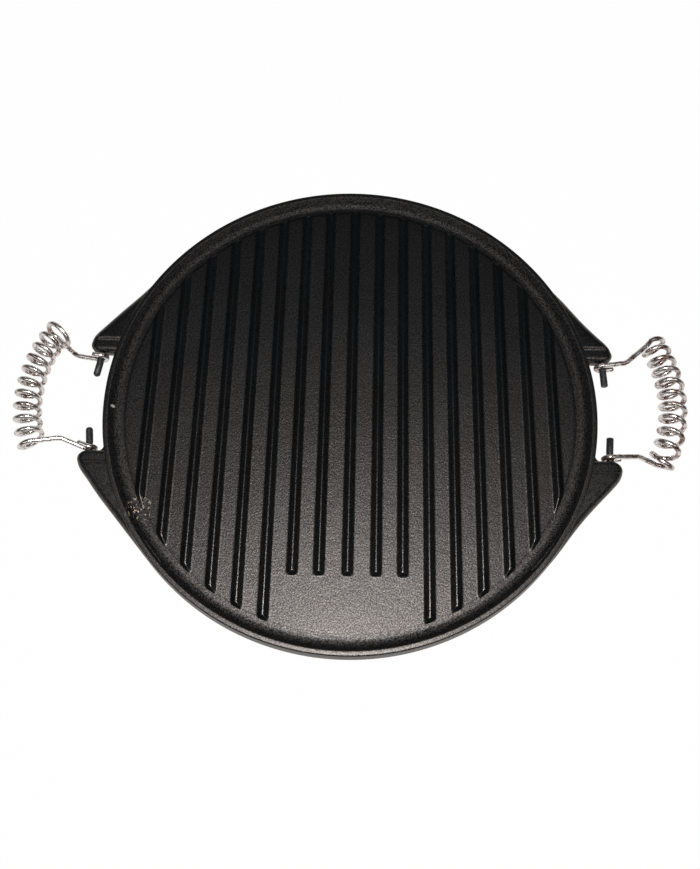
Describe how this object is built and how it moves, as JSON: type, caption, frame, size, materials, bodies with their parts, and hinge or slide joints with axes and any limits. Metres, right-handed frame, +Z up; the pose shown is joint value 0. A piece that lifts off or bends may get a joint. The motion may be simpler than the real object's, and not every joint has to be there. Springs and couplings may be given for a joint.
{
  "type": "griddle",
  "caption": "Round cast griddle plate with parallel ribs, a drip groove and a raised rim, and a coiled-wire handle hinged on pins at each side.",
  "frame": {"origin": "on the surface that the griddle stands on, under the middle of the disc", "axes": "+Z up; the ribs run along Y, with the rib-free grease area at -Y; the handles lie towards -X and +X"},
  "size_m": [0.483, 0.3508, 0.02],
  "materials": {
    "cast_iron": "seasoned, satin, slightly rough",
    "pin_steel": "plain steel, darkened",
    "chrome_wire": "bright chromed wire"
  },
  "bodies": {
    "plate": {"griddle_plate": "cast_iron", "left_rear_pin": "pin_steel", "left_front_pin": "pin_steel", "right_rear_pin": "pin_steel", "right_front_pin": "pin_steel"},
    "left_handle": {"left_spring_handle": "chrome_wire"},
    "right_handle": {"right_spring_handle": "chrome_wire"}
  },
  "joints": [
    {"name": "left_handle_hinge", "type": "hinge", "parent": "plate", "child": "left_handle", "pos_m": [-0.1834, 0, 0.01], "axis": [0, 1, 0], "range_deg": [-110, 130]},
    {"name": "right_handle_hinge", "type": "hinge", "parent": "plate", "child": "right_handle", "pos_m": [0.1834, 0, 0.01], "axis": [0, -1, 0], "range_deg": [-112, 115]}
  ]
}
